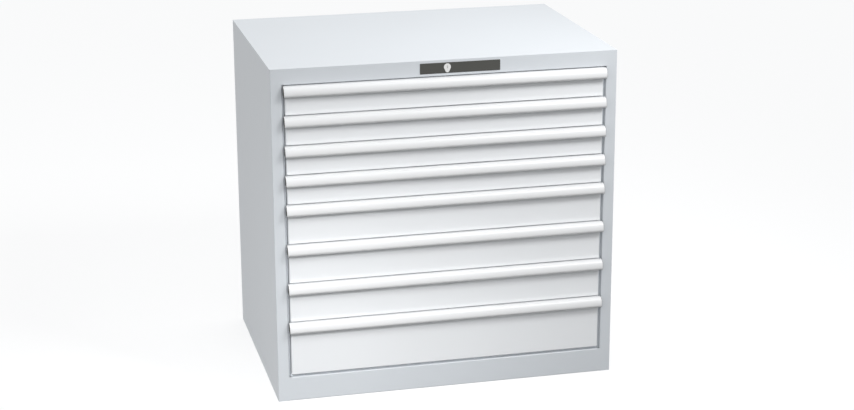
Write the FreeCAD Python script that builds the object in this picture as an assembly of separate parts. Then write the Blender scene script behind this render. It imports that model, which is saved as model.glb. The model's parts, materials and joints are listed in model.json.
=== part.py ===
import FreeCAD, Part
import math
import os

# Modular drawer cabinet in folded sheet steel. Millimetres, +Z up, the front faces -Y.
# The origin is the middle of the footprint of the housing, on the floor.

V = FreeCAD.Vector

# Housing
housing_width = 1023.0
housing_depth = 725.0
housing_sheet = 1.25
stile_width = 33.0
fascia_height = 46.75
fascia_top_flange = 30.0
fascia_back_lip = 10.0
plinth_height = 73.25
plinth_foot_flange = 22.5
rear_flange = 15.0
lid_flange_drop = 15.0
lid_flange_front_gap = 42.5
lid_flange_rear_gap = 8.0
base_sheet = 2.0
base_flange = 25.0
floor_hole_radius = 5.5
floor_hole_spacing_x = 880.0
floor_hole_spacing_y = 540.0

# Rebate round the opening, a step that closes the gap beside and below the fronts
reveal = 8.0
rebate_depth = 12.0
rebate_gap = 1.2
rebate_return = 9.0

# Rivets that hold the rear panel
rivet_rows = 5
rivet_end_distance = 60.0
rivet_shank_radius = 2.0
rivet_hole_clearance = 0.1
rivet_head_radius = 4.5
rivet_head_height = 1.8

# Drawer fronts, from the top drawer down
small_front = 85.0
medium_front = 116.5
large_front = 162.5
small_count = 4
medium_count = 3
large_count = 1
front_gap = 2.5
front_thickness = 18.25
front_sheet = 1.25
front_edge_radius = 4.0
front_return = 35.0
front_lip_height = 11.0
front_lip_flare = 1.5

# Handle profile, carried along the whole width of the opening
handle_height = 31.0
handle_depth = 21.0
handle_wall = 2.0
handle_top_radius = 15.0
handle_top_angle = 25.0
handle_lip_radius = 9.0
handle_lip_angle = 75.0
handle_leg = 24.0
handle_end_gap = 3.0
end_cap_thickness = 2.5

# Trays
tray_inside_depth = 612.0
tray_sheet = 1.0
tray_hem_height = 8.0
tray_hem_thickness = 1.2
tray_above_front_bottom = 9.5
tray_below_front_top = 13.5
tray_slot_pitch = 51.0
tray_slot_width = 2.0
tray_slot_end_distance = 40.0
tray_slot_margin = 4.0

# Runners: a cabinet rail and a tray rail of one section, and a carriage between them
rail_height = 30.0
rail_depth = 13.0
rail_sheet = 1.5
rail_setback = 26.5
rail_above_tray_floor = 3.0
tray_rail_setback = 4.0
plate_thickness = 3.0
plate_height = 24.0
plate_clearance = 1.5
roller_width = 10.0
roller_clearance = 0.3
roller_end_distance = 18.0
roller_stop_gap = 0.5
axle_radius = 4.0
axle_clearance = 0.05
axle_head_radius = 6.0
axle_head_thickness = 1.0
drawer_travel = 640.0
carriage_engagement = 165.0
carriage_share = 0.5

# Uprights with their slots, and the hooks that hang a rail in them
upright_depth = 30.0
upright_sheet = 1.5
upright_behind_rail_front = 3.0
upright_rear_distance = 29.5
hook_width = 8.0
hook_tongue_height = 5.0
hook_drop = 5.0
hook_thickness = 2.0
hook_play = 0.2
hook_spacing = 14.0
hook_slot_side_play = 0.4

# Rubber stops behind the tray rails
stop_plate_height = 20.0
stop_plate_side_gap = 3.0
stop_radius = 5.0
stop_length = 4.0
stop_gap = 0.3

# Lock plate and lock
lock_plate_left = -80.0
lock_plate_right = 157.0
lock_plate_height = 31.0
lock_plate_below_top = 7.5
lock_plate_thickness = 1.2
rosette_margin = 2.4
rosette_radius = 10.25
rosette_foot_radius = 6.0
rosette_foot_drop = 10.0
rosette_thickness = 1.8
barrel_radius = 8.5
barrel_length = 22.9
barrel_hole_clearance = 0.2
barrel_nut_radius = 12.0
barrel_nut_thickness = 4.0
plug_radius = 6.0
plug_clearance = 0.05
key_slot_width = 2.0
key_slot_height = 8.0
key_slot_depth = 6.0
cam_radius = 11.0
cam_thickness = 3.0
cam_gap = 0.5
cam_pin_radius = 2.0
cam_pin_orbit = 7.0
cam_pin_length = 7.0
cam_slot_play = 0.4

# Transfer bar across the fascia
transfer_thickness = 2.0
transfer_behind_cam = 2.0
transfer_height = 12.0
transfer_below_axis = 10.2
transfer_head_width = 22.0
transfer_head_top = 13.0
transfer_plate_margin = 6.5
transfer_bracket_sheet = 1.5
transfer_bracket_width = 14.0
transfer_bracket_play = 0.5
transfer_bracket_seat = 0.3
transfer_bracket_middle = 110.0
transfer_bracket_outer = 400.0

# Locking bar beside the front upright
lock_bar_width = 16.0
lock_bar_thickness = 3.0
lock_bar_side_gap = 3.0
lock_bar_rail_gap = 1.0
lock_bar_foot = 10.0
lock_bar_head = 6.0
lock_pin_radius = 2.0
lock_pin_length = 8.0
lock_pin_below_axis = 14.0
lock_arm_height = 9.0
lock_arm_above_rail = 2.5
lock_arm_rail_gap = 2.0
lock_arm_gap = 0.6
lock_tab_rebate_gap = 1.7
lock_tab_foot = 24.0
lock_tab_height = 12.0
lock_tab_sheet = 2.5
lock_tab_play = 1.5
guide_height = 12.0
guide_sheet = 1.5
guide_play = 0.5
guided_drawers = (2, 4, 6, 8)

# Places that follow from the sizes above
front_heights = [small_front] * small_count + [medium_front] * medium_count + [large_front] * large_count
housing_height = plinth_height + reveal + sum(front_heights) + front_gap * len(front_heights) + fascia_height
wall_half = housing_width / 2
wall_inner = wall_half - housing_sheet
front_y = -housing_depth / 2
rear_y = housing_depth / 2
lid_bottom = housing_height - housing_sheet
fascia_bottom = housing_height - fascia_height
opening_half = wall_half - stile_width
rebate_y = front_y + rebate_depth
rebate_return_y = rebate_y + rebate_return
front_half = opening_half - reveal
rebate_half = front_half + rebate_gap
rebate_strip = opening_half - rebate_half
bend_radius = housing_sheet
corner_radius = bend_radius + housing_sheet
plinth_foot_y = front_y + plinth_foot_flange
rear_panel_y = rear_y - 2 * housing_sheet

front_back_y = front_y + front_thickness
tray_length = tray_inside_depth + 2 * tray_sheet
tray_back_y = front_back_y + tray_length
rail_back = opening_half + rail_sheet
cabinet_rail_tip = rail_back - rail_depth
plate_outer = cabinet_rail_tip - plate_clearance
plate_inner = plate_outer - plate_thickness
tray_rail_tip = plate_inner - plate_clearance
tray_half = tray_rail_tip - rail_depth
rail_front_y = front_y + rail_setback
tray_rail_front_y = front_back_y + tray_rail_setback
upright_front_y = rail_front_y + upright_behind_rail_front
upright_rear_y = rear_y - upright_rear_distance - upright_depth
rail_rear_y = upright_rear_y + upright_depth
roller_radius = rail_height / 2 - rail_sheet - roller_clearance
rail_axis_above_floor = rail_above_tray_floor + rail_height / 2

carriage_travel = drawer_travel * carriage_share
carriage_rear_y = rail_front_y + carriage_engagement + carriage_travel
carriage_front_y = tray_back_y - drawer_travel - carriage_engagement + carriage_travel
outer_roller_front_y = rail_front_y + rail_sheet + roller_stop_gap + roller_radius + carriage_travel
outer_roller_rear_y = carriage_rear_y - roller_end_distance
inner_roller_front_y = carriage_front_y + roller_end_distance
inner_roller_rear_y = tray_back_y - rail_sheet - roller_stop_gap - roller_radius - carriage_travel

lock_plate_top = housing_height - lock_plate_below_top
lock_axis_z = lock_plate_top - rosette_margin - rosette_radius
lock_plate_y = front_y - lock_plate_thickness
rosette_y = lock_plate_y - rosette_thickness
barrel_end_y = lock_plate_y + barrel_length
cam_y = barrel_end_y + cam_gap
cam_back_y = cam_y + cam_thickness
transfer_y = cam_back_y + transfer_behind_cam
transfer_back_y = transfer_y + transfer_thickness
cam_pin_offset = cam_pin_orbit * math.sin(math.radians(45.0))
lock_travel = 2 * cam_pin_offset
transfer_foot = lock_axis_z - transfer_below_axis
lock_bar_back_y = rail_front_y - lock_bar_rail_gap
lock_bar_y = lock_bar_back_y - lock_bar_thickness
lock_bar_inner = rail_back + lock_bar_side_gap
lock_bar_outer = lock_bar_inner + lock_bar_width
lock_pin_x = (lock_bar_inner + lock_bar_outer) / 2
lock_pin_z = lock_axis_z - lock_pin_below_axis


class Drawer:
    """Heights of one drawer, worked out from its front."""

    def __init__(self, number, front_top, front_height):
        self.number = number
        self.top = front_top
        self.bottom = front_top - front_height
        self.floor = self.bottom + tray_above_front_bottom
        self.rim = self.top - tray_below_front_top
        self.rail_axis = self.floor + rail_axis_above_floor
        self.arm_bottom = self.rail_axis + rail_height / 2 + lock_arm_above_rail
        self.tab_bottom = self.arm_bottom + lock_arm_height + lock_tab_play


def stacked_drawers():
    """The drawers from the top down, one front gap apart."""
    drawers = []
    top = fascia_bottom - front_gap
    for index, front_height in enumerate(front_heights):
        drawers.append(Drawer(index + 1, top, front_height))
        top = top - front_height - front_gap
    return drawers


drawers = stacked_drawers()


def on_plan(a, b):
    """A point of a section that is seen from above: a is x and b is y."""
    return V(a, b, 0)


def on_side(a, b):
    """A point of a section that is seen from the side: a is y and b is z."""
    return V(0, a, b)


def on_front(a, b):
    """A point of a section that is seen from the front: a is x and b is z."""
    return V(a, 0, b)


def box(x, y, z):
    """A box between the two values of each pair."""
    size = (x[1] - x[0], y[1] - y[0], z[1] - z[0])
    return Part.makeBox(size[0], size[1], size[2], V(x[0], y[0], z[0]))


def rod_along_y(radius, x, z, y_start, y_end):
    """A cylinder along the depth of the cabinet."""
    return Part.makeCylinder(radius, y_end - y_start, V(x, y_start, z), V(0, 1, 0))


def rod_along_x(radius, y, z, x_start, x_end):
    """A cylinder along the width of the cabinet."""
    return Part.makeCylinder(radius, x_end - x_start, V(x_start, y, z), V(1, 0, 0))


def mirrored(shape):
    """The same piece on the other side of the cabinet."""
    return shape.mirror(V(0, 0, 0), V(1, 0, 0))


def beside(points, distance):
    """Corners of the line that runs beside the points, at a distance to their left."""
    runs = []
    for start, end in zip(points, points[1:]):
        along = (end - start).normalize()
        runs.append((start + V(-along.y, along.x, 0) * distance, along))
    corners = [runs[0][0]]
    for (start, along), (next_start, next_along) in zip(runs, runs[1:]):
        gap = next_start - start
        turn = along.x * next_along.y - along.y * next_along.x
        step = (gap.x * next_along.y - gap.y * next_along.x) / turn
        corners.append(start + along * step)
    along = runs[-1][1]
    corners.append(points[-1] + V(-along.y, along.x, 0) * distance)
    return corners


def rounded_run(corners, radii, place):
    """Lines through the corners, joined by tangent arcs of the given radii."""
    edges = []
    here = corners[0]
    for before, corner, after, radius in zip(corners, corners[1:], corners[2:], radii):
        back = (before - corner).normalize()
        ahead = (after - corner).normalize()
        half_angle = back.getAngle(ahead) / 2
        reach = radius / math.tan(half_angle)
        inward = (back + ahead).normalize()
        start = corner + back * reach
        middle = corner + inward * (radius / math.sin(half_angle) - radius)
        end = corner + ahead * reach
        edges.append(Part.makeLine(place(here.x, here.y), place(start.x, start.y)))
        arc = Part.Arc(place(start.x, start.y), place(middle.x, middle.y), place(end.x, end.y))
        edges.append(arc.toShape())
        here = end
    last = corners[-1]
    edges.append(Part.makeLine(place(here.x, here.y), place(last.x, last.y)))
    return edges


def bent_sheet(path, thickness, place, inner_radius):
    """Section of a folded sheet: its outer face follows the path, its thickness lies to the left."""
    face_corners = [V(a, b, 0) for a, b in path]
    back_corners = beside(face_corners, thickness)
    face_radii = []
    back_radii = []
    for before, corner, after in zip(face_corners, face_corners[1:], face_corners[2:]):
        first = corner - before
        second = after - corner
        turns_left = first.x * second.y - first.y * second.x > 0
        face_radii.append(inner_radius + thickness if turns_left else inner_radius)
        back_radii.append(inner_radius if turns_left else inner_radius + thickness)
    edges = rounded_run(face_corners, face_radii, place)
    edges.append(Part.makeLine(place(*path[-1]), place(back_corners[-1].x, back_corners[-1].y)))
    edges += rounded_run(back_corners[::-1], back_radii[::-1], place)
    edges.append(Part.makeLine(place(back_corners[0].x, back_corners[0].y), place(*path[0])))
    return Part.Face(Part.Wire(edges))


def outline(points, place):
    """A face with straight sides."""
    corners = [place(a, b) for a, b in points]
    return Part.Face(Part.makePolygon(corners + corners[:1]))


def carried_along_x(face, x_start, x_end):
    """A side section carried along the width."""
    solid = face.extrude(V(x_end - x_start, 0, 0))
    solid.translate(V(x_start, 0, 0))
    return solid


def carried_along_y(face, y_start, y_end):
    """A front section carried along the depth."""
    solid = face.extrude(V(0, y_end - y_start, 0))
    solid.translate(V(0, y_start, 0))
    return solid


def carried_along_z(face, z_start, z_end):
    """A plan section carried along the height."""
    solid = face.extrude(V(0, 0, z_end - z_start))
    solid.translate(V(0, 0, z_start))
    return solid


def fused(shapes):
    """Shapes of one piece made one solid."""
    return shapes[0].multiFuse(shapes[1:]).removeSplitter()


def capsule(start, end, radius, y_start, y_end):
    """A slot with round ends between two places of the front view."""
    first = V(start[0], 0, start[1])
    last = V(end[0], 0, end[1])
    along = (last - first).normalize()
    across = V(-along.z, 0, along.x) * radius
    edges = [
        Part.makeLine(first + across, last + across),
        Part.Arc(last + across, last + along * radius, last - across).toShape(),
        Part.makeLine(last - across, first - across),
        Part.Arc(first - across, first - along * radius, first + across).toShape(),
    ]
    return carried_along_y(Part.Face(Part.Wire(edges)), y_start, y_end)


def rivet_places():
    """Heights of the rivets, evenly spaced between the two end distances."""
    step = (lid_bottom - 2 * rivet_end_distance) / (rivet_rows - 1)
    return [rivet_end_distance + row * step for row in range(rivet_rows)]


rivet_x = wall_half - rear_flange / 2


def rivet_holes():
    """The rivet holes of both sides, through the rear flanges and the rear panel."""
    radius = rivet_shank_radius + rivet_hole_clearance
    holes = []
    for z in rivet_places():
        for x in (-rivet_x, rivet_x):
            holes.append(rod_along_y(radius, x, z, rear_panel_y - housing_sheet, rear_y + housing_sheet))
    return holes


def make_side_panel():
    """Right side: wall, stile, rebate and rear flange folded from one sheet."""
    path = [
        (rebate_half, rebate_return_y),
        (rebate_half, rebate_y),
        (opening_half, rebate_y),
        (opening_half, front_y),
        (wall_half, front_y),
        (wall_half, rear_y),
        (wall_half - rear_flange, rear_y),
    ]
    section = bent_sheet(path, housing_sheet, on_plan, bend_radius)
    return carried_along_z(section, 0, lid_bottom).cut(rivet_holes())


def make_top_panel():
    """Lid with a flange inside each wall and inside the rear panel."""
    lid = box((-wall_half, wall_half), (front_y, rear_y), (lid_bottom, housing_height))
    upright_edges = [edge for edge in lid.Edges if abs(edge.tangentAt(edge.FirstParameter).z) > 0.5]
    lid = lid.makeFillet(corner_radius, upright_edges)
    drop = (lid_bottom - lid_flange_drop, lid_bottom)
    flange_y = (front_y + lid_flange_front_gap, rear_y - lid_flange_rear_gap)
    side = box((wall_inner - housing_sheet, wall_inner), flange_y, drop)
    back_x = wall_inner - housing_sheet
    back = box((-back_x, back_x), (rear_panel_y - housing_sheet, rear_panel_y), drop)
    return fused([lid, side, mirrored(side), back])


def make_rear_panel():
    """Sheet behind the drawers, riveted inside the rear flanges."""
    half = wall_inner - bend_radius
    panel = box((-half, half), (rear_panel_y, rear_panel_y + housing_sheet), (0, lid_bottom))
    return panel.cut(rivet_holes())


def make_base_panel():
    """Floor sheet with a front and a rear flange and the four fixing holes."""
    front = plinth_foot_y
    sheet = box((-wall_inner, wall_inner), (front, rear_panel_y), (0, base_sheet))
    flange_z = (0, base_flange)
    front_wall = box((-rebate_half, rebate_half), (front, front + base_sheet), flange_z)
    rear_wall = box((-wall_inner, wall_inner), (rear_panel_y - base_sheet, rear_panel_y), flange_z)
    base = fused([sheet, front_wall, rear_wall])
    holes = []
    for x in (-floor_hole_spacing_x / 2, floor_hole_spacing_x / 2):
        for y in (-floor_hole_spacing_y / 2, floor_hole_spacing_y / 2):
            holes.append(Part.makeCylinder(floor_hole_radius, base_sheet, V(x, y, 0)))
    return base.cut(holes)


def narrowed_behind_face(member, z_range):
    """Clears a cross member from the rebates of the sides, behind its own face."""
    y_range = (front_y + housing_sheet, front_y + housing_depth)
    end = box((rebate_half, wall_half), y_range, z_range)
    return member.cut([end, mirrored(end)])


def make_plinth():
    """Lower cross member, with the rebate that closes the gap below the last front."""
    path = [
        (rebate_return_y, plinth_height + rebate_strip),
        (rebate_y, plinth_height + rebate_strip),
        (rebate_y, plinth_height),
        (front_y, plinth_height),
        (front_y, 0),
        (plinth_foot_y, 0),
    ]
    section = bent_sheet(path, housing_sheet, on_side, bend_radius)
    member = carried_along_x(section, -opening_half, opening_half)
    return narrowed_behind_face(member, (-housing_sheet, plinth_height + reveal))


def make_top_fascia():
    """Upper cross member, with the hole of the lock."""
    path = [
        (front_y + fascia_top_flange, lid_bottom),
        (front_y, lid_bottom),
        (front_y, fascia_bottom),
        (rebate_y, fascia_bottom),
        (rebate_y, fascia_bottom + fascia_back_lip),
    ]
    section = bent_sheet(path, housing_sheet, on_side, bend_radius)
    member = carried_along_x(section, -opening_half, opening_half)
    member = narrowed_behind_face(member, (fascia_bottom - housing_sheet, housing_height))
    radius = barrel_radius + barrel_hole_clearance
    return member.cut(rod_along_y(radius, 0, lock_axis_z, front_y - housing_sheet, rebate_y - housing_sheet))


def hook_heights(drawer):
    """Heights of the two hooks that hang the rail of a drawer in an upright."""
    return (drawer.rail_axis - hook_spacing / 2, drawer.rail_axis + hook_spacing / 2)


def make_upright(upright_y):
    """Slotted channel between a wall and the cabinet rails."""
    path = [
        (wall_inner, upright_y + upright_depth),
        (rail_back, upright_y + upright_depth),
        (rail_back, upright_y),
        (wall_inner, upright_y),
    ]
    section = bent_sheet(path, upright_sheet, on_plan, upright_sheet)
    channel = carried_along_z(section, base_sheet, fascia_bottom)
    middle = upright_y + upright_depth / 2
    half_slot = hook_width / 2 + hook_slot_side_play
    slots = []
    for drawer in drawers:
        for z in hook_heights(drawer):
            slot_z = (z - hook_play, z + hook_tongue_height + hook_drop + hook_play)
            slot_x = (rail_back - upright_sheet, rail_back + 2 * upright_sheet)
            slots.append(box(slot_x, (middle - half_slot, middle + half_slot), slot_z))
    return channel.cut(slots)


def make_cabinet_rail(drawer):
    """Fixed runner channel with its hooks, its front end plate and its stop plate."""
    low = drawer.rail_axis - rail_height / 2
    high = drawer.rail_axis + rail_height / 2
    path = [(cabinet_rail_tip, low), (rail_back, low), (rail_back, high), (cabinet_rail_tip, high)]
    section = bent_sheet(path, rail_sheet, on_front, rail_sheet / 2)
    parts = [carried_along_y(section, rail_front_y, rail_rear_y)]
    end_x = (cabinet_rail_tip, rail_back)
    end_z = (low + rail_sheet / 2, high - rail_sheet / 2)
    parts.append(box(end_x, (rail_front_y, rail_front_y + rail_sheet), end_z))
    stop_y = tray_back_y + stop_gap + stop_length
    stop_x = (tray_half + stop_plate_side_gap, rail_back)
    stop_z = (drawer.rail_axis - stop_plate_height / 2, drawer.rail_axis + stop_plate_height / 2)
    parts.append(box(stop_x, (stop_y, stop_y + rail_sheet), stop_z))
    behind = rail_back + upright_sheet + hook_play
    for upright_y in (upright_front_y, upright_rear_y):
        middle = upright_y + upright_depth / 2
        hook_y = (middle - hook_width / 2, middle + hook_width / 2)
        hook_x = (behind, behind + hook_thickness)
        for z in hook_heights(drawer):
            tongue_top = z + hook_tongue_height
            parts.append(box((rail_back - rail_sheet, hook_x[1]), hook_y, (z, tongue_top)))
            parts.append(box(hook_x, hook_y, (z - hook_drop, tongue_top)))
    return fused(parts)


def make_stop(drawer):
    """Rubber buffer between the stop plate and the end of a tray rail."""
    x = (tray_half + tray_rail_tip) / 2
    start = tray_back_y + stop_gap
    return rod_along_y(stop_radius, x, drawer.rail_axis, start, start + stop_length)


def make_roller(y, z, x_start):
    """One roller with its bore."""
    tyre = rod_along_x(roller_radius, y, z, x_start, x_start + roller_width)
    bore = rod_along_x(axle_radius + axle_clearance, y, z, x_start, x_start + roller_width)
    return tyre.cut(bore)


def make_carriage_side(drawer):
    """Right-hand carriage: a plate with its axles, and the rollers on them."""
    z = drawer.rail_axis
    plate_z = (z - plate_height / 2, z + plate_height / 2)
    plate = [box((plate_inner, plate_outer), (carriage_front_y, carriage_rear_y), plate_z)]
    rollers = []
    outer_x = plate_outer + plate_clearance
    for y in (outer_roller_front_y, outer_roller_rear_y):
        head_x = outer_x + roller_width
        plate.append(rod_along_x(axle_radius, y, z, plate_outer, head_x))
        plate.append(rod_along_x(axle_head_radius, y, z, head_x, head_x + axle_head_thickness))
        rollers.append(make_roller(y, z, outer_x))
    inner_x = plate_inner - plate_clearance - roller_width
    for y in (inner_roller_front_y, inner_roller_rear_y):
        plate.append(rod_along_x(axle_radius, y, z, inner_x, plate_inner))
        plate.append(rod_along_x(axle_head_radius, y, z, inner_x - axle_head_thickness, inner_x))
        rollers.append(make_roller(y, z, inner_x))
    return [fused(plate)] + rollers


def make_carriage(drawer):
    """The two carriages of a drawer."""
    right = make_carriage_side(drawer)
    return Part.makeCompound(right + [mirrored(solid) for solid in right])


def slot_places(low, high):
    """Places of the partition slots along a wall, centred between its ends."""
    room = high - low - 2 * tray_slot_end_distance
    steps = int(room / tray_slot_pitch)
    first = (low + high) / 2 - steps * tray_slot_pitch / 2
    return [first + index * tray_slot_pitch for index in range(steps + 1)]


def tray_slots(drawer):
    """Slots for partitions in the four walls, below the hem and above the runners."""
    inside = tray_half - tray_sheet
    low = drawer.rail_axis + rail_height / 2 + tray_slot_margin
    high = drawer.rim - tray_hem_height - tray_slot_margin
    half = tray_slot_width / 2
    slots = []
    for x in slot_places(-inside, inside):
        for y in (front_back_y, tray_back_y - tray_sheet):
            slots.append(box((x - half, x + half), (y, y + tray_sheet), (low, high)))
    for y in slot_places(front_back_y, tray_back_y):
        for x in (-tray_half, inside):
            slots.append(box((x, x + tray_sheet), (y - half, y + half), (low, high)))
    return slots


def make_tray_rail(drawer):
    """Runner channel on the right wall of a tray, closed at its rear end."""
    low = drawer.rail_axis - rail_height / 2
    high = drawer.rail_axis + rail_height / 2
    path = [(tray_rail_tip, high), (tray_half, high), (tray_half, low), (tray_rail_tip, low)]
    section = bent_sheet(path, rail_sheet, on_front, rail_sheet / 2)
    channel = carried_along_y(section, tray_rail_front_y, tray_back_y)
    end_z = (low + rail_sheet / 2, high - rail_sheet / 2)
    end = box((tray_half, tray_rail_tip), (tray_back_y - rail_sheet, tray_back_y), end_z)
    return [channel, end]


def make_lock_tab(drawer):
    """Angle on the right wall of a tray, which an arm of the locking bar catches."""
    face_y = lock_bar_back_y + lock_arm_gap
    path = [
        (tray_half, face_y + lock_tab_foot),
        (tray_half, face_y),
        (rebate_half - lock_tab_rebate_gap, face_y),
    ]
    section = bent_sheet(path, lock_tab_sheet, on_plan, lock_tab_sheet / 3)
    return carried_along_z(section, drawer.tab_bottom, drawer.tab_bottom + lock_tab_height)


def make_tray(drawer):
    """Sheet tray with hemmed rim, slotted walls and runner channels, and its lock tab."""
    outer = box((-tray_half, tray_half), (front_back_y, tray_back_y), (drawer.floor, drawer.rim))
    inside = tray_half - tray_sheet
    inside_y = (front_back_y + tray_sheet, tray_back_y - tray_sheet)
    hem_z = drawer.rim - tray_hem_height
    hollow = box((-inside, inside), inside_y, (drawer.floor + tray_sheet, hem_z))
    mouth = inside - tray_hem_thickness
    mouth_y = (inside_y[0] + tray_hem_thickness, inside_y[1] - tray_hem_thickness)
    upper = box((-mouth, mouth), mouth_y, (hem_z, drawer.rim))
    shell = outer.cut([hollow, upper] + tray_slots(drawer))
    right_rail = make_tray_rail(drawer)
    tray = fused([shell] + right_rail + [mirrored(part) for part in right_rail])
    return Part.makeCompound([tray, make_lock_tab(drawer)])


def make_front(drawer):
    """Front as a folded pan; all but the last flare forward in a lip at the bottom."""
    flare = 0 if drawer is drawers[-1] else front_lip_flare
    low, high, crease = drawer.bottom, drawer.top, drawer.bottom + front_lip_height
    face = [
        (front_back_y, low),
        (front_y - flare, low),
        (front_y, crease),
        (front_y, high),
        (front_back_y, high),
    ]
    blank = carried_along_x(outline(face, on_side), -front_half, front_half)
    plan = box((-front_half, front_half), (front_y - front_lip_flare, front_back_y), (low, high))
    corners = []
    for edge in plan.Edges:
        upright = abs(edge.tangentAt(edge.FirstParameter).z) > 0.5
        if upright and edge.CenterOfMass.y < front_y:
            corners.append(edge)
    blank = blank.common(plan.makeFillet(front_edge_radius, corners))
    inner_y = front_y + front_sheet
    back_y = front_back_y - front_sheet
    inner_z = (low + front_sheet, high - front_sheet)
    hollow = [
        (back_y, inner_z[0]),
        (inner_y - flare, inner_z[0]),
        (inner_y, crease),
        (inner_y, inner_z[1]),
        (back_y, inner_z[1]),
    ]
    inner_half = front_half - front_edge_radius
    cavity = carried_along_x(outline(hollow, on_side), -inner_half, inner_half)
    window_half = front_half - front_return
    window = box((-window_half, window_half), (back_y - front_sheet, front_back_y), inner_z)
    return blank.cut([cavity, window])


def arc_on_side(centre, radius, start, end):
    """Arc seen from the side; its angles start at the front and grow upwards."""
    points = []
    for angle in (start, (start + end) / 2, end):
        points.append(centre + on_side(-radius * math.cos(angle), radius * math.sin(angle)))
    return Part.Arc(points[0], points[1], points[2]).toShape()


def handle_face(drawer, inset):
    """Arcs of the handle, inset by a wall: round top, flatter face, lip that curls back below."""
    lean = math.radians(handle_top_angle)
    curl = math.radians(handle_lip_angle)
    top_drop = handle_top_radius * (1 - math.sin(lean))
    lip_drop = handle_lip_radius * math.sin(curl)
    face_radius = (handle_height - top_drop - lip_drop) / math.sin(lean)
    nose_y = front_y - handle_depth
    nose_z = drawer.top - handle_height + lip_drop
    orbit = face_radius - handle_top_radius
    face_centre = on_side(nose_y + face_radius, nose_z)
    top_centre = face_centre + on_side(-orbit * math.cos(lean), orbit * math.sin(lean))
    lip_centre = on_side(nose_y + handle_lip_radius, nose_z)
    return [
        arc_on_side(top_centre, handle_top_radius - inset, math.pi / 2, lean),
        arc_on_side(face_centre, face_radius - inset, lean, 0),
        arc_on_side(lip_centre, handle_lip_radius - inset, 0, -curl),
    ]


def first_point(edges):
    """Where a run of edges starts."""
    return edges[0].valueAt(edges[0].FirstParameter)


def last_point(edges):
    """Where a run of edges ends."""
    return edges[-1].valueAt(edges[-1].LastParameter)


def straight_run(points):
    """Straight edges from each point to the next."""
    return [Part.makeLine(start, end) for start, end in zip(points, points[1:])]


def make_handle(drawer):
    """Grip profile: a leg on the front, a round top and a curved face, open from below."""
    outer = handle_face(drawer, 0)
    inner = handle_face(drawer, handle_wall)
    leg_face = front_y - handle_wall
    leg_foot = drawer.top - handle_leg
    lip = straight_run([last_point(outer), last_point(inner)])
    leg = straight_run([
        first_point(inner),
        on_side(leg_face, drawer.top - handle_wall),
        on_side(leg_face, leg_foot),
        on_side(front_y, leg_foot),
        on_side(front_y, drawer.top),
        first_point(outer),
    ])
    profile = Part.Face(Part.Wire(Part.__sortEdges__(outer + lip + inner + leg)))
    half = opening_half - handle_end_gap
    return carried_along_x(profile, -half, half)


def make_end_caps(drawer):
    """Two plates inside the ends of the handle profile."""
    inner = handle_face(drawer, handle_wall)
    leg_face = front_y - handle_wall
    back = straight_run([
        last_point(inner),
        on_side(leg_face, drawer.top - handle_leg),
        on_side(leg_face, drawer.top - handle_wall),
        first_point(inner),
    ])
    plate = Part.Face(Part.Wire(Part.__sortEdges__(inner + back)))
    end = opening_half - handle_end_gap
    right = carried_along_x(plate, end - end_cap_thickness, end)
    return Part.makeCompound([right, mirrored(right)])


def make_lock_plate():
    """Dark plate on the fascia, with the hole of the barrel."""
    plate_z = (lock_plate_top - lock_plate_height, lock_plate_top)
    plate = box((lock_plate_left, lock_plate_right), (lock_plate_y, front_y), plate_z)
    radius = barrel_radius + barrel_hole_clearance
    return plate.cut(rod_along_y(radius, 0, lock_axis_z, lock_plate_y, front_y))


def rosette_outline():
    """Shield outline: a round head whose sides run down to a smaller round foot."""
    head = V(0, 0, lock_axis_z)
    foot = V(0, 0, lock_axis_z - rosette_foot_drop)
    lean = math.asin((rosette_radius - rosette_foot_radius) / rosette_foot_drop)
    right = V(math.cos(lean), 0, -math.sin(lean))
    left = V(-right.x, 0, right.z)
    up = V(0, 0, 1)
    head_right = head + right * rosette_radius
    head_left = head + left * rosette_radius
    foot_right = foot + right * rosette_foot_radius
    foot_left = foot + left * rosette_foot_radius
    edges = [
        Part.Arc(head_left, head + up * rosette_radius, head_right).toShape(),
        Part.makeLine(head_right, foot_right),
        Part.Arc(foot_right, foot - up * rosette_foot_radius, foot_left).toShape(),
        Part.makeLine(foot_left, head_left),
    ]
    return Part.Face(Part.Wire(edges))


def make_lock_barrel():
    """Barrel with its shield rosette, and the nut that holds it behind the fascia."""
    rosette = carried_along_y(rosette_outline(), rosette_y, lock_plate_y)
    body = rod_along_y(barrel_radius, 0, lock_axis_z, lock_plate_y, barrel_end_y)
    bore = rod_along_y(plug_radius + plug_clearance, 0, lock_axis_z, rosette_y, barrel_end_y)
    barrel = fused([rosette, body]).cut(bore)
    nut_y = front_y + housing_sheet
    nut_end = nut_y + barrel_nut_thickness
    corners = []
    for corner in range(6):
        angle = math.radians(60.0 * corner)
        up = barrel_nut_radius * math.sin(angle)
        corners.append((barrel_nut_radius * math.cos(angle), lock_axis_z + up))
    nut = carried_along_y(outline(corners, on_front), nut_y, nut_end)
    nut = nut.cut(rod_along_y(barrel_radius + barrel_hole_clearance, 0, lock_axis_z, nut_y, nut_end))
    return Part.makeCompound([barrel, nut])


def make_lock_plug():
    """Turning plug with its key slot, its cam and the pin that drives the transfer bar."""
    plug = rod_along_y(plug_radius, 0, lock_axis_z, rosette_y, cam_y)
    slot_x = (-key_slot_width / 2, key_slot_width / 2)
    slot_z = (lock_axis_z - key_slot_height / 2, lock_axis_z + key_slot_height / 2)
    plug = plug.cut(box(slot_x, (rosette_y, rosette_y + key_slot_depth), slot_z))
    cam = rod_along_y(cam_radius, 0, lock_axis_z, cam_y, cam_back_y)
    pin_z = lock_axis_z + cam_pin_offset
    pin = rod_along_y(cam_pin_radius, -cam_pin_offset, pin_z, cam_back_y, cam_back_y + cam_pin_length)
    return fused([plug, cam, pin])


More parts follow.
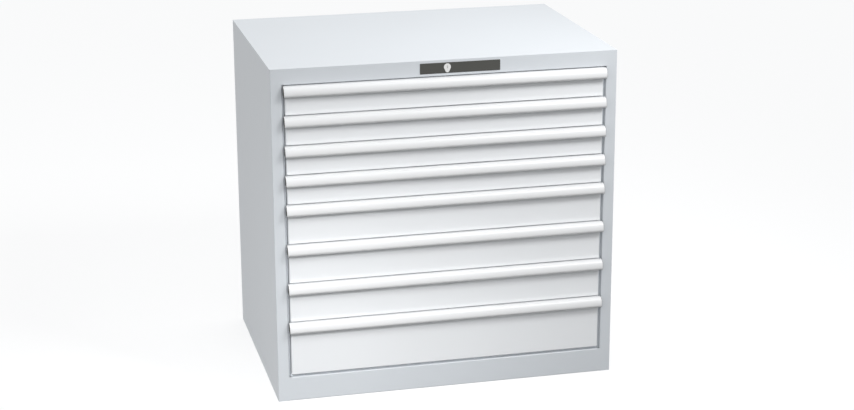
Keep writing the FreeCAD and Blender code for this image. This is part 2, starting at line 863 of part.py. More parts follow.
def make_transfer_bar():
    """Flat bar with an upright slot for the cam pin and a sloping one for the locking bar."""
    bar_y = (transfer_y, transfer_back_y)
    head_middle = -cam_pin_offset
    head_x = (head_middle - transfer_head_width / 2, head_middle + transfer_head_width / 2)
    head = box(head_x, bar_y, (transfer_foot, lock_axis_z + transfer_head_top))
    margin = transfer_plate_margin
    plate_x = (lock_pin_x - lock_travel - margin, lock_pin_x + margin)
    plate = box(plate_x, bar_y, (lock_pin_z - margin, lock_pin_z + lock_travel + margin))
    strip = box((head_x[0], plate_x[1]), bar_y, (transfer_foot, transfer_foot + transfer_height))
    bar = fused([head, strip, plate])
    low = (head_middle, lock_axis_z + cam_pin_offset - cam_slot_play)
    high = (head_middle, lock_axis_z + cam_pin_orbit + cam_slot_play)
    cam_slot = capsule(low, high, cam_pin_radius + cam_slot_play, bar_y[0], bar_y[1])
    start = (lock_pin_x, lock_pin_z)
    end = (lock_pin_x - lock_travel, lock_pin_z + lock_travel)
    lift_slot = capsule(start, end, lock_pin_radius + cam_slot_play, bar_y[0], bar_y[1])
    return bar.cut([cam_slot, lift_slot])


def make_locking_bar():
    """Upright bar with the pin that the transfer bar lifts, and one welded arm for each drawer."""
    bar_y = (lock_bar_y, lock_bar_back_y)
    foot = drawers[-1].arm_bottom - lock_bar_foot
    bar = box((lock_bar_inner, lock_bar_outer), bar_y, (foot, lock_pin_z + lock_bar_head))
    pin_end = lock_bar_back_y + lock_pin_length
    pin = rod_along_y(lock_pin_radius, lock_pin_x, lock_pin_z, lock_bar_back_y, pin_end)
    arms = []
    for drawer in drawers:
        arm_z = (drawer.arm_bottom, drawer.arm_bottom + lock_arm_height)
        arms.append(box((tray_rail_tip + lock_arm_rail_gap, lock_bar_inner), bar_y, arm_z))
    return Part.makeCompound([fused([bar, pin])] + arms)


def make_bar_guide(drawer):
    """Staple on the front upright that keeps the locking bar in its track."""
    inner = lock_bar_inner - guide_play
    outer = lock_bar_outer + guide_play
    bridge_y = lock_bar_y - guide_play - guide_sheet
    path = [
        (inner - guide_sheet, upright_front_y),
        (inner - guide_sheet, bridge_y),
        (outer + guide_sheet, bridge_y),
        (outer + guide_sheet, upright_front_y),
    ]
    section = bent_sheet(path, guide_sheet, on_plan, guide_sheet / 3)
    return carried_along_z(section, drawer.rail_axis - guide_height / 2, drawer.rail_axis + guide_height / 2)


def make_transfer_bracket(x):
    """Hanger under the flange of the fascia that carries the transfer bar."""
    front = transfer_y - transfer_bracket_play - transfer_bracket_sheet
    back = transfer_back_y + transfer_bracket_play + transfer_bracket_sheet
    low = transfer_foot - transfer_bracket_seat - transfer_bracket_sheet
    high = lid_bottom - housing_sheet
    path = [(front, high), (front, low), (back, low), (back, high)]
    section = bent_sheet(path, transfer_bracket_sheet, on_side, transfer_bracket_sheet / 3)
    return carried_along_x(section, x - transfer_bracket_width / 2, x + transfer_bracket_width / 2)


def make_lock_guides():
    """Guides of the locking bar and of the transfer bar."""
    guides = [make_bar_guide(drawer) for drawer in drawers if drawer.number in guided_drawers]
    guides += [make_transfer_bracket(transfer_bracket_middle), make_transfer_bracket(transfer_bracket_outer)]
    return Part.makeCompound(guides)


def make_rivets():
    """Domed rivets, each with its shank through the flange and the rear panel."""
    dome_radius = (rivet_head_radius ** 2 + rivet_head_height ** 2) / (2 * rivet_head_height)
    rivets = []
    for z in rivet_places():
        for x in (-rivet_x, rivet_x):
            shank = rod_along_y(rivet_shank_radius, x, z, rear_panel_y, rear_y)
            ball = Part.makeSphere(dome_radius, V(x, rear_y + rivet_head_height - dome_radius, z))
            behind_x = (x - 2 * rivet_head_radius, x + 2 * rivet_head_radius)
            behind_z = (z - 2 * rivet_head_radius, z + 2 * rivet_head_radius)
            head = ball.common(box(behind_x, (rear_y, rear_y + 2 * rivet_head_height), behind_z))
            rivets.append(fused([shank, head]))
    return Part.makeCompound(rivets)


def both_sides(solids):
    """A group of right-hand pieces together with their mirrored pieces."""
    return Part.makeCompound(solids + [mirrored(solid) for solid in solids])


def all_pieces():
    """Every node of the cabinet by its name."""
    side_panel = make_side_panel()
    rails = [make_cabinet_rail(drawer) for drawer in drawers]
    pieces = {
        "right_side_panel": side_panel,
        "left_side_panel": mirrored(side_panel),
        "top_panel": make_top_panel(),
        "rear_panel": make_rear_panel(),
        "base_panel": make_base_panel(),
        "top_fascia": make_top_fascia(),
        "plinth": make_plinth(),
        "uprights": both_sides([make_upright(upright_front_y), make_upright(upright_rear_y)]),
        "right_cabinet_rails": Part.makeCompound(rails),
        "left_cabinet_rails": Part.makeCompound([mirrored(rail) for rail in rails]),
        "drawer_stops": both_sides([make_stop(drawer) for drawer in drawers]),
        "rear_rivets": make_rivets(),
        "lock_plate": make_lock_plate(),
        "lock_barrel": make_lock_barrel(),
        "lock_guides": make_lock_guides(),
        "lock_plug": make_lock_plug(),
        "transfer_bar": make_transfer_bar(),
        "locking_bar": make_locking_bar(),
    }
    for drawer in drawers:
        name = "drawer_" + str(drawer.number)
        pieces[name + "_tray"] = make_tray(drawer)
        pieces[name + "_front"] = make_front(drawer)
        pieces[name + "_handle"] = make_handle(drawer)
        pieces[name + "_end_caps"] = make_end_caps(drawer)
        pieces["carriage_" + str(drawer.number)] = make_carriage(drawer)
    return pieces


os.makedirs("parts", exist_ok=True)
for node, piece in all_pieces().items():
    piece.exportStep("parts/" + node + ".step")
print("height", housing_height, "lock travel", round(lock_travel, 4), "carriage travel", carriage_travel)
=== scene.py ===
import json
import math
import bmesh
import bpy
import numpy as np
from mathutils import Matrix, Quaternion, Vector

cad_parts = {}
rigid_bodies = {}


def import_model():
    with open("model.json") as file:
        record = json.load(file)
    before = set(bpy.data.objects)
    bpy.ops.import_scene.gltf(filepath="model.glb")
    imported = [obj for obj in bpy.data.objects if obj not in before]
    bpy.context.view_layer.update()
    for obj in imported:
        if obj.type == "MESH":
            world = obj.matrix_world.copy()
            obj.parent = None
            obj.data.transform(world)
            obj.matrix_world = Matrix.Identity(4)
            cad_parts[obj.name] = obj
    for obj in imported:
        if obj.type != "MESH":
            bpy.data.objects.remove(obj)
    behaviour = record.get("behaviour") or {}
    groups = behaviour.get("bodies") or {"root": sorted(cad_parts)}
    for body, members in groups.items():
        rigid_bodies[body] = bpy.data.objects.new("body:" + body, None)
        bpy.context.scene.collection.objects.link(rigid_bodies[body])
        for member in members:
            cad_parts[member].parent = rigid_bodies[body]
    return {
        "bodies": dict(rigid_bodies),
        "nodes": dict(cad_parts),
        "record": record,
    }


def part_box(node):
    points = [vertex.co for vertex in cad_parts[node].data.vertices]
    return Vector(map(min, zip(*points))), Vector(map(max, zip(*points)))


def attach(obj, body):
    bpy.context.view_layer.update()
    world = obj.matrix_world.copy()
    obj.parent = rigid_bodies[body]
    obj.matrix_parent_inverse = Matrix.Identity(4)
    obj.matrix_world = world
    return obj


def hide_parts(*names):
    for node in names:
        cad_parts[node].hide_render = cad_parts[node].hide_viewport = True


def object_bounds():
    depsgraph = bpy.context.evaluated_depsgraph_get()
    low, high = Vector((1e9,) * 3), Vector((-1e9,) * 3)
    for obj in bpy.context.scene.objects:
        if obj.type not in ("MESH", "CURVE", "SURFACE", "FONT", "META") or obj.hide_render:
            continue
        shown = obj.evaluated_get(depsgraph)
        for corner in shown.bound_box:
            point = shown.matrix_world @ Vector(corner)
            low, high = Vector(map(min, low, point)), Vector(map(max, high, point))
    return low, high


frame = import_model()
cadLow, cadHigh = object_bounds()
nodes = frame["nodes"]
drawers = range(1, 1 + sum(1 for body in frame["bodies"] if body.startswith("drawer_")))
print("frame loaded:", len(nodes), "nodes,", len(drawers), "drawers")


class Term:  # a number socket; arithmetic on it adds Math nodes
    def __init__(self, paint, socket):
        self.paint = paint
        self.socket = socket

    def __add__(self, other):
        return self.paint.maths("ADD", self, other)

    def __sub__(self, other):
        return self.paint.maths("SUBTRACT", self, other)

    def __rsub__(self, other):
        return self.paint.maths("SUBTRACT", other, self)

    def __mul__(self, other):
        return self.paint.maths("MULTIPLY", self, other)

    def __gt__(self, other):
        return self.paint.maths("GREATER_THAN", self, other)

    def __lt__(self, other):
        return self.paint.maths("LESS_THAN", self, other)

    def __abs__(self):
        return self.paint.maths("ABSOLUTE", self, 0.0)

    __radd__ = __add__
    __rmul__ = __mul__


class Paint:  # the node tree of a finish, of the floor or of the world
    def __init__(self, owner):
        owner.use_nodes = True
        self.owner = owner
        self.tree = owner.node_tree
        self.tree.nodes.clear()

    def node(self, kind, settings=None, inputs=None):  # settings first, then values or links
        made = self.tree.nodes.new(kind)
        for key, value in (settings or {}).items():
            setattr(made, key, value)
        for key, value in (inputs or {}).items():
            value = value.socket if isinstance(value, Term) else value
            if isinstance(value, bpy.types.NodeSocket):
                self.tree.links.new(value, made.inputs[key])
            else:
                made.inputs[key].default_value = value
        return made

    def maths(self, operation, a, b):
        made = self.node("ShaderNodeMath", {"operation": operation}, {0: a, 1: b})
        return Term(self, made.outputs[0])

    def clamped(self, a):
        made = self.node("ShaderNodeMath", {"operation": "ADD", "use_clamp": True}, {0: a, 1: 0.0})
        return Term(self, made.outputs[0])

    def place(self, stretch=(1, 1, 1)):  # object coordinates in metres, stretched along an axis
        source = self.node("ShaderNodeTexCoord").outputs["Object"]
        if stretch == (1, 1, 1):
            return source
        made = self.node("ShaderNodeMapping", None, {"Vector": source, "Scale": stretch})
        return made.outputs["Vector"]

    def along(self, axis):  # one object coordinate, 0 for x, 1 for y and 2 for z
        made = self.node("ShaderNodeSeparateXYZ", None, {0: self.place()})
        return Term(self, made.outputs[axis])

    def noise(self, place, scale, detail=2.0):
        inputs = {"Vector": place, "Scale": scale, "Detail": detail}
        return Term(self, self.node("ShaderNodeTexNoise", None, inputs).outputs[0])

    def cells(self, place, scale):
        made = self.node("ShaderNodeTexVoronoi", None, {"Vector": place, "Scale": scale})
        return Term(self, self.node("ShaderNodeSeparateColor", None, {0: made.outputs["Color"]}).outputs[0])

    def between(self, factor, a, b):  # a colour from a to b
        inputs = {0: factor, 6: (*a, 1) if isinstance(a, tuple) else a, 7: (*b, 1) if isinstance(b, tuple) else b}
        return self.node("ShaderNodeMix", {"data_type": "RGBA"}, inputs).outputs[2]

    def bump(self, height, depth):
        return self.node("ShaderNodeBump", None, {"Height": height, "Distance": depth}).outputs[0]

    def surface(self, colour, rough, bump, fixed):  # the shader and its output
        inputs = {"Base Color": colour, "Roughness": rough, "Normal": bump, **fixed}
        shader = self.node("ShaderNodeBsdfPrincipled", None, inputs)
        self.node("ShaderNodeOutputMaterial", None, {"Surface": shader.outputs[0]})
        return self.owner


def newPaint(name):
    return Paint(bpy.data.materials.new(name))


def shade(colour, amount):  # a colour made lighter or darker
    return tuple(min(1.0, part * (1 + amount)) for part in colour)


# Powder coat: the tone drifts softly over the sheet, fine grain and orange peel break the gloss.
def powderCoat(name, look):
    paint = newPaint(name)
    drift = paint.noise(paint.place(), look["driftScale"])
    grain = paint.noise(paint.place(), look["grainScale"], 3.0)
    peel = paint.noise(paint.place(), look["peelScale"])
    tone = 0.5 + (drift - 0.5) * look["drift"] + (grain - 0.5) * look["grain"]
    colour = paint.between(tone, shade(look["colour"], -look["spread"]), shade(look["colour"], look["spread"]))
    rough = look["roughness"] + (grain - 0.5) * look["roughGrain"] + (drift - 0.5) * look["roughDrift"]
    height = peel * look["peelShare"] + grain * (1 - look["peelShare"])
    return paint.surface(colour, rough, paint.bump(height, look["depth"]), look["fixed"])


# Moulded plastic or rubber: a fine, even grain.
def moulded(name, look):
    paint = newPaint(name)
    grain = paint.noise(paint.place(), look["grainScale"], 4.0)
    drift = paint.noise(paint.place(), look["driftScale"])
    tone = 0.5 + (grain - 0.5) * look["grain"] + (drift - 0.5) * look["drift"]
    colour = paint.between(tone, shade(look["colour"], -look["spread"]), shade(look["colour"], look["spread"]))
    rough = look["roughness"] + (grain - 0.5) * look["roughGrain"]
    return paint.surface(colour, rough, paint.bump(grain, look["depth"]), look["fixed"])


# Plated sheet: drawn lines along one direction, and the spangle of the plating.
def plated(paint, look):
    lines = paint.noise(paint.place(look["stretch"]), look["lineScale"], 3.0)
    spangle = paint.cells(paint.place(), look["spangleScale"])
    tone = 0.5 + (lines - 0.5) * look["lines"] + (spangle - 0.5) * look["spangle"]
    colour = paint.between(tone, shade(look["colour"], -look["spread"]), shade(look["colour"], look["spread"]))
    rough = look["roughness"] + (lines - 0.5) * look["roughLines"] + (spangle - 0.5) * look["roughSpangle"]
    return colour, rough, lines


def platedMetal(name, look):
    paint = newPaint(name)
    colour, rough, lines = plated(paint, look)
    return paint.surface(colour, rough, paint.bump(lines, look["depth"]), look["fixed"])


coat = {
    "driftScale": 2.2, "drift": 0.9, "grainScale": 900.0, "grain": 0.5, "spread": 0.035,
    "peelScale": 260.0, "peelShare": 0.75, "depth": 0.00006,
    "roughness": 0.42, "roughGrain": 0.10, "roughDrift": 0.06, "fixed": {"Specular IOR Level": 0.5},
}
zinc = {
    "colour": (0.62, 0.635, 0.65), "spread": 0.12, "stretch": (1.0, 0.02, 1.0), "lineScale": 900.0,
    "lines": 0.8, "spangleScale": 110.0, "spangle": 0.5, "roughness": 0.36, "roughLines": 0.15,
    "roughSpangle": 0.10, "depth": 0.00002, "fixed": {"Metallic": 0.9},
}
plastic = {
    "colour": (0.062, 0.062, 0.056), "spread": 0.12, "grainScale": 1400.0, "grain": 0.8,
    "driftScale": 6.0, "drift": 0.3, "roughness": 0.5, "roughGrain": 0.16, "depth": 0.00003,
    "fixed": {"Specular IOR Level": 0.4},
}
roller = {"colour": (0.70, 0.69, 0.64), "spread": 0.05, "roughness": 0.4, "plateEdge": 0.4665, "headEdge": 0.4772,
          "innerEdge": 0.4613, "innerHead": 0.4505}


# Runner carriage: plated steel, with pale moulded tyres where the rollers stand beside the plate.
def carriageFinish(name):
    paint = newPaint(name)
    colour, rough, lines = plated(paint, zinc)
    x = abs(paint.along(0))
    outer = (x > roller["plateEdge"]) * (x < roller["headEdge"])
    inner = (x < roller["innerEdge"]) * (x > roller["innerHead"])
    tyre = paint.clamped(outer + inner)
    grain = paint.noise(paint.place(), plastic["grainScale"], 3.0)
    pale, dark = shade(roller["colour"], roller["spread"]), shade(roller["colour"], -roller["spread"])
    tyreColour = paint.between(grain, dark, pale)
    rough = rough * (1 - tyre) + tyre * roller["roughness"]
    fixed = {"Metallic": zinc["fixed"]["Metallic"] * (1 - tyre)}
    return paint.surface(paint.between(tyre, colour, tyreColour), rough, paint.bump(lines, zinc["depth"]), fixed)


finishes = {
    "housing_grey": powderCoat("housingGrey", {**coat, "colour": (0.64, 0.67, 0.70)}),
    "front_white": powderCoat("frontWhite", {**coat, "colour": (0.825, 0.84, 0.855), "roughness": 0.38}),
    "handle_white": powderCoat("handleWhite", {**coat, "colour": (0.745, 0.75, 0.755), "roughness": 0.38}),
    "tray_grey": powderCoat("trayGrey", {**coat, "colour": (0.60, 0.63, 0.65), "roughness": 0.48}),
    "end_cap_grey": moulded("endCapGrey", plastic),
    "lock_plate_dark": moulded("lockPlateDark", {**plastic, "roughness": 0.58, "grainScale": 1000.0}),
    "stop_rubber": moulded("stopRubber", {**plastic, "colour": (0.03, 0.03, 0.03), "roughness": 0.7}),
    "zinc_sheet": platedMetal("zincSheet", zinc),
    "rivet_metal": platedMetal("rivetMetal", {**zinc, "colour": (0.72, 0.72, 0.72), "roughness": 0.3}),
    "lock_nickel": platedMetal("lockNickel", {**zinc, "colour": (0.76, 0.76, 0.75), "roughness": 0.24, "spangle": 0.0,
                                              "roughSpangle": 0.0, "stretch": (1.0, 1.0, 0.05)}),
}
carriageMetal = carriageFinish("carriageMetal")
for part in frame["record"]["subparts"]:
    name = part["node"]
    finish = carriageMetal if name.startswith("carriage_") else finishes[part["material_slot"]]
    nodes[name].data.materials.clear()
    nodes[name].data.materials.append(finish)
print("finishes:", len(finishes) + 1)


# A mesh from grids of points. Each grid is a function of two parameters, rows by columns. wrap joins
# the last row to the first; cap closes the first and the last column with one flat face each.
def addPiece(name, grids, finishSlot, body, wrap=True, cap=True, sharp=40):
    vertices = []
    faces = []
    start = 0
    for grid in grids:
        rows, columns = grid.shape[:2]
        index = start + np.arange(rows * columns).reshape(rows, columns)
        looped = np.vstack([index, index[:1]]) if wrap else index
        corners = [looped[:-1, :-1], looped[1:, :-1], looped[1:, 1:], looped[:-1, 1:]]
        faces += np.stack(corners, -1).reshape(-1, 4).tolist()
        if cap:
            faces += [index[:, 0].tolist(), index[::-1, -1].tolist()]
        vertices.append(grid.reshape(-1, 3))
        start += rows * columns
    mesh = bpy.data.meshes.new(name)
    mesh.from_pydata(np.concatenate(vertices).tolist(), [], faces)
    made = bmesh.new()
    made.from_mesh(mesh)
    bmesh.ops.remove_doubles(made, verts=made.verts, dist=1e-7)
    bmesh.ops.recalc_face_normals(made, faces=made.faces)
    made.to_mesh(mesh)
    made.free()
    mesh.shade_smooth()
    mesh.set_sharp_from_angle(angle=math.radians(sharp))
    mesh.materials.append(finishes[finishSlot])
    piece = bpy.data.objects.new(name, mesh)
    bpy.context.scene.collection.objects.link(piece)
    weighted = piece.modifiers.new("evenShading", "WEIGHTED_NORMAL")
    weighted.keep_sharp = True
    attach(piece, body)
    return piece


# An arc as (across, up) points round a centre, from one angle to another in degrees.
def arc(centre, radius, start, end, count):
    angle = np.radians(np.linspace(start, end, count))
    return np.stack([centre[0] + radius * np.cos(angle), centre[1] + radius * np.sin(angle)], 1)


# A closed outline through corners, each rounded by its own radius.
def roundedLoop(corners, radii, count=7):
    corners = np.array(corners, float)
    pieces = []
    for before, corner, after, radius in zip(np.roll(corners, 1, 0), corners, np.roll(corners, -1, 0), radii):
        back = (before - corner) / np.linalg.norm(before - corner)
        ahead = (after - corner) / np.linalg.norm(after - corner)
        half = math.acos(np.clip(np.dot(back, ahead), -1, 1)) / 2
        middle = corner + (back + ahead) / np.linalg.norm(back + ahead) * radius / math.sin(half)
        first = corner + back * radius / math.tan(half) - middle
        last = corner + ahead * radius / math.tan(half) - middle
        share = np.linspace(0, 1, count)[:, None]
        turn = first * (1 - share) + last * share
        pieces.append(middle + radius * turn / np.linalg.norm(turn, axis=1, keepdims=True))
    return np.concatenate(pieces)


# A section of (y, z) points carried along x: rows go round the section, columns along the width.
def carried(section, xs, squash=None):
    ys = np.repeat(section[:, :1], len(xs), 1)
    zs = np.repeat(section[:, 1:], len(xs), 1)
    if squash is not None:  # moves the front of the section back, by a length for each place along x
        back = section[:, 0].max()
        ys = ys + squash[None, :] * (back - ys) / (back - section[:, 0].min())
    return np.stack([np.repeat(np.array(xs)[None, :], len(section), 0), ys, zs], -1)


# Places along x whose ends are rounded: the middle, then an arc of a given radius at each end.
def roundedEnds(half, radius, count=7):
    angle = np.radians(np.linspace(0, 90, count))
    right = half - radius + radius * np.sin(angle)
    setBack = radius * (1 - np.cos(angle))
    return np.concatenate([-right[::-1], right]), np.concatenate([setBack[::-1], setBack])


front = {"edgeRadius": 0.0022, "backRadius": 0.0008, "endRadius": 0.0035, "lipHeight": 0.011, "creaseRadius": 0.0012}


# Drawer front: a folded pan whose section has rounded edges and, on all but the last, a lip that flares
# forward below a crease. Its upright ends are rounded in plan.
def addFront(number):
    low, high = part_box(f"drawer_{number}_front")
    back, top, bottom = high.y, high.z, low.z
    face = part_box(f"drawer_{number}_handle")[1].y
    crease = [((face, bottom + front["lipHeight"]), front["creaseRadius"])] if face > low.y + 1e-5 else []
    turns = [((back, bottom), front["backRadius"]), ((low.y, bottom), front["edgeRadius"])] + crease
    turns += [((face, top), front["edgeRadius"]), ((back, top), front["backRadius"])]
    xs, setBack = roundedEnds(high.x, front["endRadius"])
    grid = carried(roundedLoop([corner for corner, radius in turns], [radius for corner, radius in turns]), xs, setBack)
    piece = addPiece(f"drawer_{number}_front_panel", [grid], "front_white", f"drawer_{number}")
    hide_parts(f"drawer_{number}_front")


handle = {
    "wall": 0.002, "topRadius": 0.015, "topAngle": 25.0, "lipRadius": 0.009, "lipAngle": 75.0, "leg": 0.024,
    "tipReach": 0.5, "arcPoints": 16,
}


# The arcs of a handle that fills a box, moved inwards by an inset: the round top, a flatter face down to the
# foremost point, and the lip that curls back under it. The face radius follows from the height of the box.
def handleArcs(low, high, inset):
    topRadius, lipRadius, count = handle["topRadius"], handle["lipRadius"], handle["arcPoints"]
    lean, curl = math.radians(handle["topAngle"]), math.radians(handle["lipAngle"])
    noseHeight = low.z + lipRadius * math.sin(curl)
    faceRadius = (high.z - noseHeight - topRadius * (1 - math.sin(lean))) / math.sin(lean)
    orbit = faceRadius - topRadius
    faceCentre = (low.y + faceRadius, noseHeight)
    topCentre = (faceCentre[0] - orbit * math.cos(lean), noseHeight + orbit * math.sin(lean))
    return np.concatenate([
        arc(topCentre, topRadius - inset, 90, 180 - handle["topAngle"], count),
        arc(faceCentre, faceRadius - inset, 180 - handle["topAngle"], 180, count)[1:],
        arc((low.y + lipRadius, noseHeight), lipRadius - inset, 180, 180 + handle["lipAngle"], count)[1:]])


# Half an ellipse round the tip of a wall, from its outer point to its inner one.
def roundedTip(outer, inner, reach, count=7):
    middle, half = (outer + inner) / 2, (outer - inner) / 2
    ahead = np.array([-half[1], half[0]]) * reach
    angle = np.linspace(0, math.pi, count)[1:-1, None]
    return middle + half * np.cos(angle) + ahead * np.sin(angle)


# Handle profile, carried along x: the arcs outside, the rounded lip, the arcs inside, then the leg.
def addHandle(number):
    node = f"drawer_{number}_handle"
    low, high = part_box(node)
    outer, inner = handleArcs(low, high, 0.0), handleArcs(low, high, handle["wall"])
    legFace, legFoot = high.y - handle["wall"], high.z - handle["leg"]
    leg = [(legFace, high.z - handle["wall"]), (legFace, legFoot), (high.y, legFoot), (high.y, high.z)]
    section = np.concatenate([outer, roundedTip(outer[-1], inner[-1], handle["tipReach"]), inner[::-1], np.array(leg)])
    piece = addPiece(f"drawer_{number}_grip", [carried(section, [low.x, high.x])], "handle_white", f"drawer_{number}")
    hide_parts(node)


endCap = {"thickness": 0.0025, "flange": 0.0006, "flangeInset": 0.0001, "edgeRadius": 0.0003}


# A plate from its rear to its face: the outline is carried forwards, and round the rim of the face it is
# drawn in by a quarter circle, at right angles to the edge.
def plateGrid(outline, rear, face, radius, count=6):
    angle = np.radians(np.linspace(0, 90, count))
    forward = 1 if face > rear else -1
    depth = np.concatenate([[rear], face - forward * radius * (1 - np.sin(angle))])
    inset = np.concatenate([[0.0], radius * (1 - np.cos(angle))])
    nextPoints = np.roll(outline, -1, 0)
    edges = nextPoints - outline
    edges = edges / np.linalg.norm(edges, axis=1, keepdims=True)
    along = edges + np.roll(edges, 1, 0)
    inwards = np.stack([-along[:, 1], along[:, 0]], 1) / np.linalg.norm(along, axis=1, keepdims=True)
    turn = np.sign(np.sum(outline[:, 0] * nextPoints[:, 1] - outline[:, 1] * nextPoints[:, 0]))
    drawn = outline[:, None, :] + turn * inwards[:, None, :] * inset[None, :, None]
    return np.concatenate([drawn, np.repeat(depth[None, :, None], len(outline), 0)], -1)


# End caps: a plate that fills the handle from its inner face to its leg, and a thin flange over its end.
def addEndCaps(number):
    node = f"drawer_{number}_end_caps"
    low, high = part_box(f"drawer_{number}_handle")
    plug = (handle["wall"], handle["wall"], high.x - endCap["thickness"], high.x)
    flange = (endCap["flangeInset"], 0.0, high.x, high.x + endCap["flange"])
    grids = []
    for inset, legInset, rear, face in (plug, flange):
        legFace = high.y - legInset
        leg = [(legFace, high.z - handle["leg"]), (legFace, high.z - max(inset, legInset))]
        outline = np.concatenate([handleArcs(low, high, inset), np.array(leg)])
        right = plateGrid(outline, rear, face, endCap["edgeRadius"])[..., [2, 0, 1]]
        grids += [right, right * (-1, 1, 1)]
    piece = addPiece(f"drawer_{number}_caps", grids, "end_cap_grey", f"drawer_{number}")
    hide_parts(node)


for number in drawers:
    addFront(number)
    addHandle(number)
    addEndCaps(number)
print("drawer fronts, handles and end caps done")


lockPlate = {"cornerRadius": 0.0015, "edgeRadius": 0.0005, "holeRadius": 0.0085}


# Where rays from a middle leave a convex outline, in evenly spaced directions and through its own points.
def rayEnds(outline, middle, count=36):
    spokes = outline - middle
    even = np.linspace(-math.pi, math.pi, count, endpoint=False)
    angle = np.unique(np.round(np.concatenate([np.arctan2(spokes[:, 1], spokes[:, 0]), even]), 6))
    rays = np.stack([np.cos(angle), np.sin(angle)], 1)
    edges = np.roll(spokes, -1, 0) - spokes
    normals = np.stack([edges[:, 1], -edges[:, 0]], 1)
    reach = (normals * spokes).sum(1) / np.maximum(rays @ normals.T, 1e-12)
    return middle + rays * reach.min(1, keepdims=True), rays


# Lock plate: from the hole out along the back, round the rim to the front and back to the hole, for each
# direction round the hole.
def addLockPlate():
    low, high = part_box("lock_plate")
    joint = next(joint for joint in frame["record"]["behaviour"]["joints"] if joint["name"] == "lock_turn")
    middle = np.array([joint["pos_m"][0], joint["pos_m"][2]])
    corners = [(low.x, low.z), (high.x, low.z), (high.x, high.z), (low.x, high.z)]
    outline, rays = rayEnds(roundedLoop(corners, [lockPlate["cornerRadius"]] * 4), middle)
    plate = plateGrid(outline, high.y, low.y, lockPlate["edgeRadius"])
    ring = middle + rays * lockPlate["holeRadius"]
    hole = [np.column_stack([ring, np.full(len(ring), y)])[:, None] for y in (high.y, low.y)]
    grid = np.concatenate([hole[0], plate, hole[1], hole[0]], 1)[..., [0, 2, 1]]
    piece = addPiece("lock_plate_soft", [grid], "lock_plate_dark", "cabinet", cap=False)
    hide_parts("lock_plate")


addLockPlate()
print("lock plate done")


weld = {"lid": 0.00125, "bend": 0.0025, "depth": 0.002}


# Dressed corner welds: flat strips that fill the grooves where the fascia and the plinth meet the stiles,
# and where the fascia and the stiles meet the lid.
def addFrameWelds():
    fasciaLow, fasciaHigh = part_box("top_fascia")
    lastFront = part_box(f"drawer_{len(drawers)}_front")
    half, bend = fasciaHigh.x, weld["bend"]
    lidBottom = cadHigh.z - weld["lid"]
    plinthTop = lastFront[0].z - (half - lastFront[1].x)
    strips = [((-half, half), (lidBottom - bend, lidBottom))]
    for zRange in ((fasciaLow.z + bend, lidBottom), (bend, plinthTop - bend)):
        strips += [((half, half + bend), zRange), ((-half - bend, -half), zRange)]
    face = fasciaLow.y
    back = face + weld["depth"]
    grids = []
    for xRange, (zLow, zHigh) in strips:
        grids.append(carried(np.array([(face, zLow), (face, zHigh), (back, zHigh), (back, zLow)]), xRange))
    addPiece("frame_welds", grids, "housing_grey", "cabinet")


addFrameWelds()
print("frame welds done")


# Camera: aim, direction and distance that lay the corners of the housing where the photograph has them.
view = {
    "pictureWidth": 854, "focalPixels": 1900.0, "azimuth": -13.61, "elevation": 17.03, "roll": -0.236,
    "distance": 5.8975, "right": 0.0262, "up": -0.0389,
}


def addCamera():
    data = bpy.data.cameras.new("camera")
    data.sensor_width = 36.0
    data.lens = data.sensor_width * view["focalPixels"] / view["pictureWidth"]
    camera = bpy.data.objects.new("camera", data)
    bpy.context.scene.collection.objects.link(camera)
    turn, rise = math.radians(view["azimuth"]), math.radians(view["elevation"])
    back = Vector((math.sin(turn) * math.cos(rise), -math.cos(turn) * math.cos(rise), math.sin(rise)))
    camera.rotation_mode = "QUATERNION"
    camera.rotation_quaternion = (-back).to_track_quat("-Z", "Y")
    right = camera.rotation_quaternion @ Vector((1, 0, 0))
    up = camera.rotation_quaternion @ Vector((0, 1, 0))
    middle = Vector((0, 0, cadHigh.z / 2))
    camera.location = middle + back * view["distance"] + right * view["right"] + up * view["up"]
    camera.rotation_quaternion = Quaternion(back, math.radians(view["roll"])) @ camera.rotation_quaternion
    bpy.context.scene.camera = camera


light = {
    "ambient": 0.88,
    "left": {"place": (-1.1, -2.6, 2.0), "aim": (-0.45, -0.36, 0.10), "size": 0.6, "spread": 34, "power": 1.8},
    "right": {"place": (1.2, -1.9, 2.6), "aim": (0.42, -0.36, 0.95), "size": 0.8, "spread": 70, "power": 6.6},
    "top": {"place": (0.0, 0.2, 3.4), "aim": (0.0, 0.1, 0.5), "size": 2.6, "spread": 180, "power": 4.0},
}
floor = {"size": 40.0, "bounce": 0.12, "seen": 0.52, "glow": 0.5}


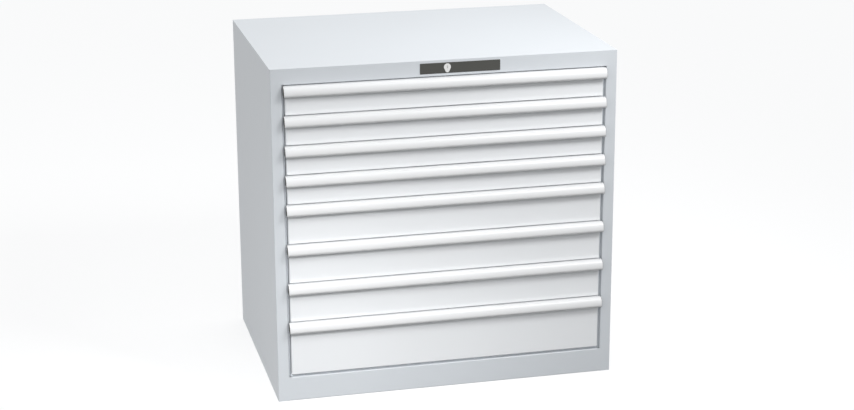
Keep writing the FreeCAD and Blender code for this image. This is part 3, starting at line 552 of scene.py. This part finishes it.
def addLamp(name, lamp):
    data = bpy.data.lights.new(name, "AREA")
    data.size = lamp["size"]
    data.energy = lamp["power"]
    data.spread = math.radians(lamp["spread"])
    lampObject = bpy.data.objects.new(name, data)
    bpy.context.scene.collection.objects.link(lampObject)
    lampObject.location = lamp["place"]
    lampObject.rotation_mode = "QUATERNION"
    lampObject.rotation_quaternion = (Vector(lamp["aim"]) - Vector(lamp["place"])).to_track_quat("-Z", "Y")


# 1 for what the camera sees directly, in a reflection or through glass, 0 for light on the object.
def seenDirectly(paint):
    path = paint.node("ShaderNodeLightPath")
    camera, glossy = Term(paint, path.outputs["Is Camera Ray"]), Term(paint, path.outputs["Is Glossy Ray"])
    return paint.clamped(camera + glossy + Term(paint, path.outputs["Is Transmission Ray"]))


def setWorld():
    world = bpy.data.worlds.new("studio")
    bpy.context.scene.world = world
    paint = Paint(world)
    white = paint.node("ShaderNodeBackground", None, {"Color": (1, 1, 1, 1), "Strength": 1.0})
    soft = paint.node("ShaderNodeBackground", None, {"Color": (0.98, 0.99, 1, 1), "Strength": light["ambient"]})
    mixed = paint.node("ShaderNodeMixShader", None, {0: seenDirectly(paint), 1: soft.outputs[0], 2: white.outputs[0]})
    paint.node("ShaderNodeOutputWorld", None, {"Surface": mixed.outputs[0]})


def addFloor():
    half = floor["size"] / 2
    mesh = bpy.data.meshes.new("floor")
    mesh.from_pydata([(-half, -half, 0), (half, -half, 0), (half, half, 0), (-half, half, 0)], [], [(0, 1, 2, 3)])
    paint = newPaint("floorWhite")
    bounce = paint.node("ShaderNodeBsdfDiffuse", None, {"Color": (floor["bounce"],) * 3 + (1,)})
    seen = paint.node("ShaderNodeBsdfDiffuse", None, {"Color": (floor["seen"],) * 3 + (1,)})
    glow = paint.node("ShaderNodeEmission", None, {"Strength": floor["glow"]})
    both = paint.node("ShaderNodeAddShader", None, {0: seen.outputs[0], 1: glow.outputs[0]})
    mixed = paint.node("ShaderNodeMixShader", None, {0: seenDirectly(paint), 1: bounce.outputs[0], 2: both.outputs[0]})
    paint.node("ShaderNodeOutputMaterial", None, {"Surface": mixed.outputs[0]})
    mesh.materials.append(paint.owner)
    plane = bpy.data.objects.new("floor", mesh)
    bpy.context.scene.collection.objects.link(plane)


addCamera()
for name in ("left", "right", "top"):
    addLamp(f"{name}Lamp", light[name])
setWorld()
addFloor()
bpy.context.scene.view_settings.view_transform = "Standard"
print("camera, lamps and floor done")
